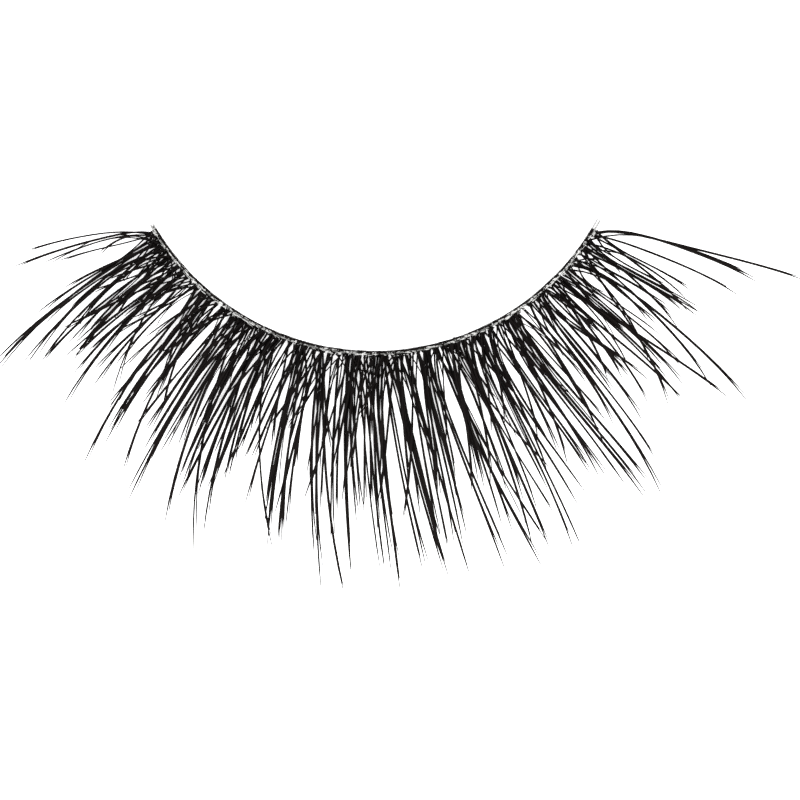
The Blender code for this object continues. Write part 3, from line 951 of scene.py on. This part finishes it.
    def crossers(self, locks: np.ndarray) -> np.ndarray:
        """Locks of one pair that cross over the neighbours of their knots, most of them to the left.

        Args:
            locks: Records of locks from whose knots they spring.

        Returns:
            Their records.
        """
        sizes, chance, many = self.sizes, self.chance, len(locks)
        made = locks.copy()
        way = np.where(chance.random(many) < sizes.crossing_left, -1.0, 1.0)
        made["waist"] = locks["knot"] + way * np.radians(chance.uniform(*sizes.crossing_waist, many))
        made["tip"] = locks["knot"] + way * np.radians(chance.uniform(*sizes.crossing_tip, many))
        made["level"] = chance.uniform(0.0, sizes.crossing_level, many)
        made["reach"] = locks["reach"] * chance.uniform(*sizes.crossing_reach, many)
        return made

    def feet(self, root_angle: np.ndarray, level: np.ndarray) -> np.ndarray:
        """The start of each fibre, from under the inner thread to just before its knot.

        Args:
            root_angle: Where each fibre passes its knot.
            level: How high it is there.

        Returns:
            Three points for each fibre.
        """
        sizes, band = self.sizes, self.band
        share = np.array(sizes.foot_places)[None]
        stray = root_angle + self.chance.normal(0.0, sizes.foot_stray, len(root_angle)) / band.radius
        stray = np.clip(stray, -band.half_span, band.half_span)
        lift = np.array(sizes.foot_lifts)[None] * (level - sizes.foot)[:, None]
        reach = sizes.foot_start + share * (band.knot_reach - sizes.foot_start)
        angle = root_angle[:, None] * share + stray[:, None] * (1 - share)
        return band.plan(angle, reach, sizes.foot + lift)

    def cut_ends(self, left: np.ndarray, right: np.ndarray) -> Surface:
        """The hairs' cut ends, laid along the top of the inner thread, each as a straight line.

        Args:
            left: Angles that the ends start at, one for each knot.
            right: Angles that they run to.

        Returns:
            The ends as one surface.
        """
        band, chance, short = self.band, self.chance, self.short
        left, right = np.tile(left, short.cut_ends), np.tile(right, short.cut_ends)
        t = np.linspace(0.0, 1.0, short.cut_rings)[None]
        angle = left[:, None] + (right - left)[:, None] * t
        start, end = chance.normal(0.0, short.cut_stray, (2, len(left)))
        reach = band.inner_thread + short.cut_reach + start[:, None] + (end - start)[:, None] * t
        path = band.plan(angle, reach, band.thread_height + band.thread_radius)
        radii = chance.uniform(*short.cut_radius, path.shape[:2])
        return strands(path, radii, self.sides, chance.random(len(left)) * short.tint)

    def stubs(self, knots: np.ndarray) -> Surface:
        """Short hairs from each knot back to the inner thread, by turns under the outer thread and over it.

        In height a stub is a parabola from its knot to its end.

        Args:
            knots: Angles of the knots.

        Returns:
            The stubs as one surface.
        """
        band, chance, short = self.band, self.chance, self.short
        knot = np.repeat(knots, short.stubs)
        many = len(knot)
        start = knot + chance.normal(0.0, short.stub_start_stray, many) / band.radius
        end = knot + chance.normal(0.0, short.stub_end_stray, many) / band.radius
        t = np.linspace(0.0, 1.0, short.stub_rings)[None]
        angle = start[:, None] + (end - start)[:, None] * t
        settled = np.where(np.arange(many) % 2, short.stub_over, short.stub_under)[:, None]
        height = settled + (short.stub_start - settled) * (1 - t) ** 2
        path = band.plan(angle, band.knot_reach * (1 - t), height)
        radii = np.full(path.shape[:2], short.stub_radius)
        return strands(path, radii, self.sides, chance.random(many) * short.tint)

    def end_angles(self) -> tuple[np.ndarray, np.ndarray]:
        """How far each knot's cut ends run along the band: to its neighbours' midpoints, but not over a gap.

        Returns:
            The angles on the left and on the right of each knot.
        """
        band, knots = self.band, self.knot_angles
        middles = (knots[1:] + knots[:-1]) / 2
        overlap = self.short.cut_overlap / band.radius
        left = np.concatenate([[-band.half_span], middles]) - overlap
        right = np.concatenate([middles, [band.half_span]]) + overlap
        half = self.band_gap_width / 2 / band.radius
        for gap in np.radians(self.band_gaps):
            left = np.where((left < gap + half) & (knots > gap), np.maximum(left, gap + half), left)
            right = np.where((right > gap - half) & (knots < gap), np.minimum(right, gap - half), right)
        return left, right

    def build(self) -> list[bpy.types.Object]:
        """Makes every cluster of the fringe."""
        material = self.finish.material()
        locks = self.locks()
        knots = self.knot_angles
        owner = np.array([self.cluster_of(number) for number in range(len(KNOTS))])
        left, right = self.end_angles()
        made = []
        for cluster in range(owner.max() + 1):
            own = owner == cluster
            surface = self.fibres(locks[locks["cluster"] == cluster])
            surface = surface.joined(self.cut_ends(left[own], right[own]))
            surface = surface.joined(self.stubs(knots[own]))
            name = f"lash_cluster_{cluster + 1:02d}"
            piece = surface.piece(f"{name}_fibres", material, Slot.HAIR)
            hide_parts(name)
            made.append(piece)
        return made


@dataclass(frozen=True)
class Softbox:
    """A large soft light.

    Attributes:
        name: The light's name.
        place: Where its middle is.
        turn: How it is turned from facing straight down, in radians about X, Y and Z.
        power: Its power in watts.
        size: How wide it is.
    """

    name: str
    place: tuple[float, float, float]
    turn: tuple[float, float, float]
    power: float
    size: float = 0.45

    def build(self) -> None:
        """Makes the light."""
        lamp = bpy.data.lights.new(self.name, "AREA")
        lamp.shape = "SQUARE"
        lamp.size = self.size
        lamp.energy = self.power
        obj = bpy.data.objects.new(self.name, lamp)
        obj.location = self.place
        obj.rotation_euler = self.turn
        bpy.context.scene.collection.objects.link(obj)


@dataclass
class Studio:
    """The pale table, the soft lights and the camera straight above.

    Attributes:
        aim: The place on the table that the camera looks at.
        view_width: How much of the table it sees.
        distance: How high it stands.
        sensor_width: Width of its sensor, in millimetres.
        clip: The nearest and furthest that it sees.
        table: How wide the table is.
        table_colour: The table's colour.
        table_glow: How strongly it glows, so that the ground between the lashes stays white.
        table_roughness: The table's roughness.
        sky_colour: Colour of the even light from all round.
        sky_strength: Strength of that light.
        softboxes: The two soft lights.
    """

    aim: tuple[float, float]
    view_width: float = 50.4 * MILLIMETRE
    distance: float = 1.2
    sensor_width: float = 36.0
    clip: tuple[float, float] = (0.01, 10.0)
    table: float = 0.9
    table_colour: tuple[float, float, float, float] = (0.9, 0.9, 0.9, 1.0)
    table_glow: float = 0.6
    table_roughness: float = 0.9
    sky_colour: tuple[float, float, float, float] = (1.0, 1.0, 1.0, 1.0)
    sky_strength: float = 1.2
    softboxes: tuple[Softbox, ...] = (
        Softbox("left_softbox", place=(-0.35, 0.25, 0.5), turn=(-0.42, -0.6, 0.0), power=5.0),
        Softbox("right_softbox", place=(0.4, -0.1, 0.5), turn=(0.15, 0.66, 0.0), power=4.0),
    )

    def build(self) -> None:
        """Makes the table, the lights and the camera."""
        self.floor()
        self.lights()
        self.camera()

    def floor(self) -> None:
        """A flat square of table."""
        half = self.table / 2
        corners = [(-half, -half, 0.0), (half, -half, 0.0), (half, half, 0.0), (-half, half, 0.0)]
        mesh = bpy.data.meshes.new("table")
        mesh.from_pydata(corners, [], [(0, 1, 2, 3)])
        material, _, principled = new_material("table")
        principled.inputs["Base Color"].default_value = self.table_colour
        principled.inputs["Emission Color"].default_value = self.table_colour
        principled.inputs["Emission Strength"].default_value = self.table_glow
        principled.inputs["Roughness"].default_value = self.table_roughness
        mesh.materials.append(material)
        floor = bpy.data.objects.new("table", mesh)
        bpy.context.scene.collection.objects.link(floor)

    def lights(self) -> None:
        """Two large soft lights and an even sky, shown as they are, without a film's contrast."""
        for softbox in self.softboxes:
            softbox.build()
        world = bpy.data.worlds.new("sky")
        world.use_nodes = True
        background = world.node_tree.nodes["Background"]
        background.inputs["Color"].default_value = self.sky_colour
        background.inputs["Strength"].default_value = self.sky_strength
        bpy.context.scene.world = world
        bpy.context.scene.view_settings.view_transform = "Standard"

    def camera(self) -> None:
        """A long lens that looks straight down on the strip."""
        data = bpy.data.cameras.new("camera")
        data.sensor_width = self.sensor_width
        data.lens = self.sensor_width * self.distance / self.view_width
        data.clip_start, data.clip_end = self.clip
        camera = bpy.data.objects.new("camera", data)
        camera.location = (*self.aim, self.distance)
        bpy.context.scene.collection.objects.link(camera)
        bpy.context.scene.camera = camera


# From the arc's centre to the middle of the picture.
AIM_OFFSET = (1.64 * MILLIMETRE, -19.12 * MILLIMETRE)


def main() -> None:
    """Builds the strip on its frame, then the studio round it."""
    logging.basicConfig(level=logging.INFO, format="%(message)s")
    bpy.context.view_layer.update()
    centre = arc_centre("band_thread_inner")
    band = Band(centre)
    LOG.info("arc centre %.4f %.4f mm", centre[0] / MILLIMETRE, centre[1] / MILLIMETRE)
    pieces = Fringe(band, HairFinish()).build()
    pieces += Threads(band, CLEAR_THREAD, GLUED_THREAD).build()
    pieces.append(Glue(band, GLUE_WITH_PAINTED_HIGHLIGHT).build())
    for piece in pieces:
        LOG.info("%s: %d faces", piece.name, len(piece.data.polygons))
    Studio(aim=(centre[0] + AIM_OFFSET[0], centre[1] + AIM_OFFSET[1])).build()


if __name__ == "__main__":
    main()
